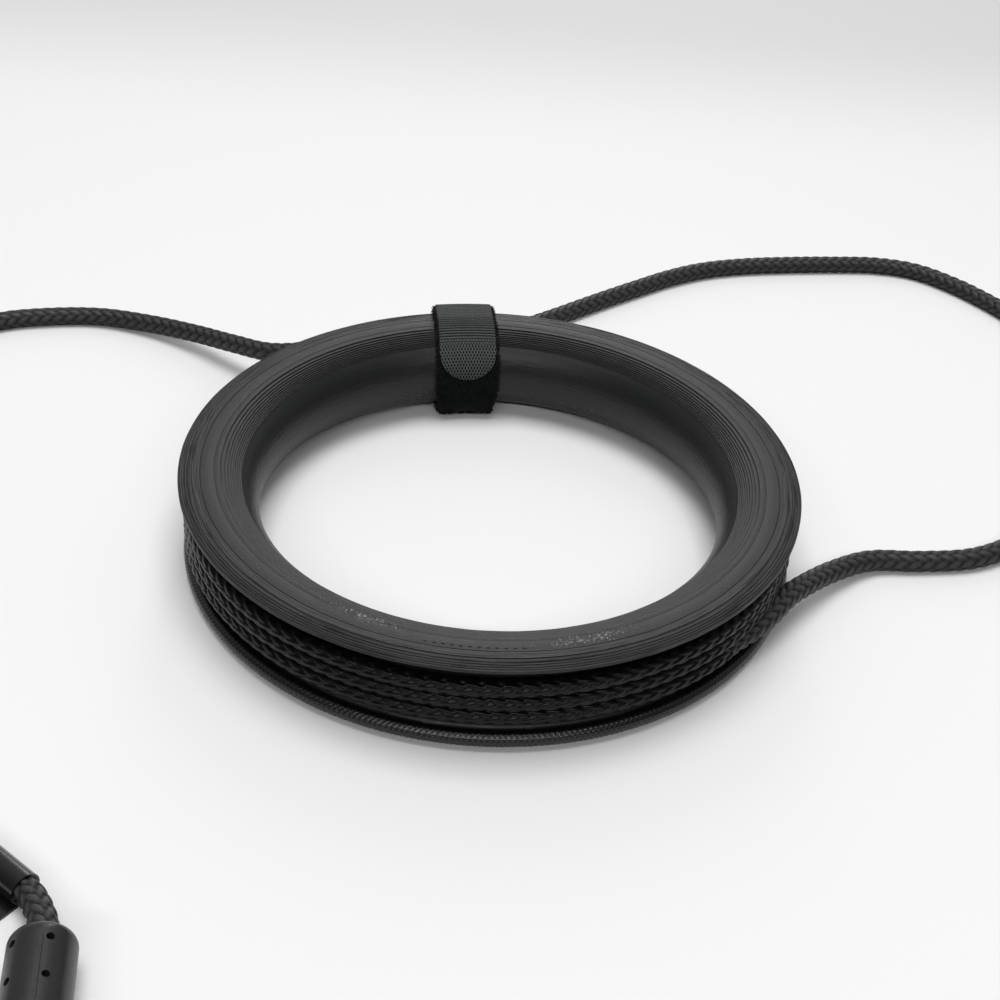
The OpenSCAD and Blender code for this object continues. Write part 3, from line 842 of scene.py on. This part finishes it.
    # Roughness: from the grain, less where rubbed, and more where it is dark
    dark = add(tree, "Math", dark, crease, operation="MAXIMUM")
    polish = add(tree, "Math", rubbed, 0.16, operation="MULTIPLY")
    dull = add(tree, "Math", dark, 0.35, operation="MULTIPLY")
    rough = add(tree, "MapRange", {0: grain, 1: 0.3, 2: 0.7, 3: 0.32, 4: 0.46})
    rough = add(tree, "Math", rough, polish, operation="SUBTRACT")
    rough = add(tree, "Math", rough, dull, operation="ADD")
    tree.links.new(rough, shader.inputs["Roughness"])
    return material


def braided_yarn(name, colour, roughness, specular, fuzz, gap):
    """Polyester multifilament braided tight: the crowns of the strands shine a little, and
    below the height of gap the braid is painted nearly black, as painted shade between its
    strands. The filaments of 0.02 mm are too fine to show and are drawn 0.2 mm wide, and fuzz
    is how much of them can be felt."""
    material, tree, shader, place = new_finish(name, colour, roughness, specular)
    height = add(tree, "Attribute", attribute_name="height", out="Fac")
    fibre = add(
        tree, "TexNoise", {"Vector": place, "Scale": 1 / 0.2, "Detail": 3.0, "Roughness": 0.6}
    )
    level = add(tree, "Math", fibre, 0.8, operation="MULTIPLY")
    level = add(tree, "Math", height, level, operation="ADD")
    # Below the gap the colour falls to near black: painted shade in the braid's hollows
    share = add(tree, "MapRange", {0: level, 1: gap, 2: gap + 0.45})
    mixed = {0: share, 6: linear("#020202"), 7: linear(colour)}
    shade = add(tree, "Mix", mixed, data_type="RGBA", out=2)
    tree.links.new(shade, shader.inputs["Base Color"])
    rough = add(tree, "MapRange", {0: share, 3: roughness + 0.25, 4: roughness})
    tree.links.new(rough, shader.inputs["Roughness"])
    bump = add(tree, "Bump", {"Height": fibre, "Distance": 0.06 * MM, "Strength": fuzz})
    tree.links.new(bump, shader.inputs["Normal"])
    return material


def loop_pile():
    """Nylon loop pile, napped and dyed: near black and woolly, in tufts 0.4 mm apart, with a
    faint sheen on the tips of its loops."""
    material, tree, shader, place = new_finish("nylon_loop_pile", "#07090a", 0.8, 0.12)
    shader.inputs["Sheen Weight"].default_value = 0.08
    tufts = add(
        tree, "TexNoise", {"Vector": place, "Scale": 2.6, "Detail": 4.0, "Roughness": 0.7}
    )
    share = add(tree, "MapRange", {0: tufts, 1: 0.35, 2: 0.7})
    mixed = {0: share, 6: linear("#030404"), 7: linear("#13181b")}
    shade = add(tree, "Mix", mixed, data_type="RGBA", out=2)
    tree.links.new(shade, shader.inputs["Base Color"])
    bump = add(tree, "Bump", {"Height": tufts, "Distance": 0.25 * MM, "Strength": 1.0})
    tree.links.new(bump, shader.inputs["Normal"])
    return material


def hook_weave():
    """Woven nylon ground of the hook tab: grey yarn, painted dark in the holes of its weave and
    darker further along the tab as painted shade, and mottled by its yarns of 0.3 mm."""
    material, tree, shader, place = new_finish("nylon_hook_weave", "#424444", 0.5, 0.1)
    height = add(tree, "Attribute", attribute_name="height", out="Fac")
    yarn = add(tree, "TexNoise", {"Vector": place, "Scale": 3.5, "Detail": 3.0})
    level = add(tree, "Math", yarn, 0.5, operation="MULTIPLY")
    level = add(tree, "Math", height, level, operation="ADD")
    share = add(tree, "MapRange", {0: level, 1: 0.55, 2: 1.25})
    mixed = {0: share, 6: linear("#030404"), 7: linear("#5a5c5c")}
    shade = add(tree, "Mix", mixed, data_type="RGBA", out=2)
    tree.links.new(shade, shader.inputs["Base Color"])
    bump = add(tree, "Bump", {"Height": yarn, "Distance": 0.06 * MM, "Strength": 0.6})
    tree.links.new(bump, shader.inputs["Normal"])
    return material


def moulded_plastic(name, colour, roughness, grain=0.02):
    """A moulded or pressed piece that took the fine grain of its tool, so its gloss is a
    little uneven: humps 0.4 mm apart, which are coarser than the real grain so that they
    show."""
    material, tree, shader, place = new_finish(name, colour, roughness)
    noise = add(tree, "TexNoise", {"Vector": place, "Scale": 2.4, "Detail": 3.0})
    bump = add(tree, "Bump", {"Height": noise, "Distance": grain * MM, "Strength": 0.5})
    tree.links.new(bump, shader.inputs["Normal"])
    low, high = roughness - 0.05, roughness + 0.08
    rough = add(tree, "MapRange", {0: noise, 1: 0.3, 2: 0.7, 3: low, 4: high})
    tree.links.new(rough, shader.inputs["Roughness"])
    return material


def plated_metal(name, colour, roughness):
    """Stamped and plated sheet, bright, with the faint lines of rolling along it, 5 mm long
    and 0.25 mm apart."""
    material, tree, shader, place = new_finish(name, colour, roughness)
    shader.inputs["Metallic"].default_value = 1
    stretch = add(tree, "Mapping", {"Vector": place, "Scale": (1 / 5, 1 / 0.25, 1 / 0.25)})
    noise = add(tree, "TexNoise", {"Vector": stretch, "Scale": 1.0, "Detail": 2.0})
    low, high = roughness * 0.8, roughness * 1.3
    rough = add(tree, "MapRange", {0: noise, 1: 0.3, 2: 0.7, 3: low, 4: high})
    tree.links.new(rough, shader.inputs["Roughness"])
    return material


lead_yarn = braided_yarn("polyester_lead_braid", "#3c3e3d", 0.42, 0.36, fuzz=0.5, gap=0.95)
# The turns in the groove are the same lead, in its yarn painted far darker: painted shade of the
# groove under the lip
turn_yarn = braided_yarn("polyester_tight_braid_painted_shade", "#0a0b0b", 0.28, 0.2, fuzz=0.15, gap=0.75)
fine_yarn = braided_yarn("polyester_fine_braid", "#101111", 0.24, 0.55, fuzz=0.1, gap=0.85)
pile_cloth = loop_pile()
moulding = moulded_plastic("moulded_pvc", "#1c1c1e", 0.34)
dressed = {
    ring: (printed_plastic(), "printed_ring"),
    tape: (pile_cloth, "strap_pile"),
    fuzz: (pile_cloth, "strap_pile"),
    tab: (hook_weave(), "strap_hook"),
    retaining: (fine_yarn, "fine_braid"),
    lead_tail: (lead_yarn, "lead_braid"),
    lead_slack: (lead_yarn, "lead_braid"),
    turns[0]: (turn_yarn, "lead_braid"),
    turns[1]: (turn_yarn, "lead_braid"),
}
for piece, (material, slot) in dressed.items():
    piece.data.materials.append(material)
    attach(piece, "root")

for name, material in {
    "lead_label": moulded_plastic("shrunk_film", "#151516", 0.18, 0.01),
    "bead_housing": moulding,
    "bead_core": moulded_plastic("sintered_ferrite", "#2c2c2e", 0.6),
    "plug_body": moulding,
    "plug_shell": plated_metal("nickel_plated_steel", "#c4c6c8", 0.25),
    "plug_tongue": moulded_plastic("moulded_nylon", "#e6e6e2", 0.45),
    "plug_contacts": plated_metal("gold_plated_bronze", "#d2a550", 0.25),
}.items():
    nodes[name].data.materials.clear()
    nodes[name].data.materials.append(material)


# Floor, sky and lamps
def make_floor():
    """A pale floor, painted a little greyer far behind the ring as painted shade. It is so for
    the camera, for reflections and through glass, and greyer for the light it sends back up."""
    half_side = 6000.0
    corners = np.array([(-1, -1, 0), (1, -1, 0), (1, 1, 0), (-1, 1, 0)]) * half_side
    floor = make_mesh("floor", corners, [np.array([[0, 1, 2, 3]])])
    material, tree, shader, place = new_finish("painted_board", "#f0f0f0", 0.9, 0.1)
    y = add(tree, "SeparateXYZ", place, out=1)
    # Painted shade: greyer from 200 to 340 mm behind the ring
    far = add(tree, "MapRange", {0: y, 1: 200.0, 2: 340.0}, interpolation_type="SMOOTHSTEP")
    mixed = {0: far, 6: linear("#f0f0f0"), 7: linear("#dcdcdc")}
    seen = add(tree, "Mix", mixed, data_type="RGBA", out=2)
    direct = add(tree, "LightPath", out="Is Camera Ray")
    for ray in ("Is Glossy Ray", "Is Transmission Ray"):
        direct = add(tree, "Math", direct, add(tree, "LightPath", out=ray), operation="MAXIMUM")
    mixed = {0: direct, 6: linear("#707070"), 7: seen}
    shade = add(tree, "Mix", mixed, data_type="RGBA", out=2)
    tree.links.new(shade, shader.inputs["Base Color"])
    floor.data.materials.append(material)


def make_sky():
    """A white sky, bright behind the ring and dim in front of it and beside it, so that the
    ring's top catches a long soft light and its walls stay dark."""
    world = bpy.data.worlds.new("sky")
    bpy.context.scene.world = world
    world.use_nodes = True
    tree = world.node_tree
    tree.nodes["Background"].inputs[0].default_value = (1, 1, 1, 1)
    way = add(tree, "TexCoord", out="Generated")
    aside = add(tree, "Math", add(tree, "SeparateXYZ", way, out=0), operation="ABSOLUTE")
    aside = add(tree, "Math", aside, 0.4, operation="MULTIPLY")
    behind = add(tree, "SeparateXYZ", way, out=1)
    level = add(tree, "Math", behind, aside, operation="SUBTRACT")
    level = add(tree, "MapRange", {0: level, 1: -0.8, 2: 0.6, 3: 0.05, 4: 0.5})
    tree.links.new(level, tree.nodes["Background"].inputs[1])


def make_lamps():
    """Three area lamps turned towards the ring: a softbox above, a narrow window behind it,
    and a strip in front of it, which the braids glint under. Places and sizes are metres."""
    for name, place, wide, tall, power in (
        ("softbox", (0.0, 0.05, 1.1), 0.7, 0.7, 8.1),
        ("window", (0.0, 1.0, 0.5), 0.2, 0.75, 1.65),
        ("kicker", (0.0, -0.95, 0.8), 1.3, 0.05, 5.0),
    ):
        lamp = bpy.data.lights.new(name, "AREA")
        lamp.shape, lamp.size, lamp.size_y, lamp.energy = "RECTANGLE", wide, tall, power
        holder = bpy.data.objects.new(name, lamp)
        holder.location = place
        holder.rotation_euler = (-Vector(place)).to_track_quat("-Z", "Y").to_euler()
        bpy.context.collection.objects.link(holder)


make_floor()
make_sky()
make_lamps()
bpy.context.scene.view_settings.view_transform = "Standard"
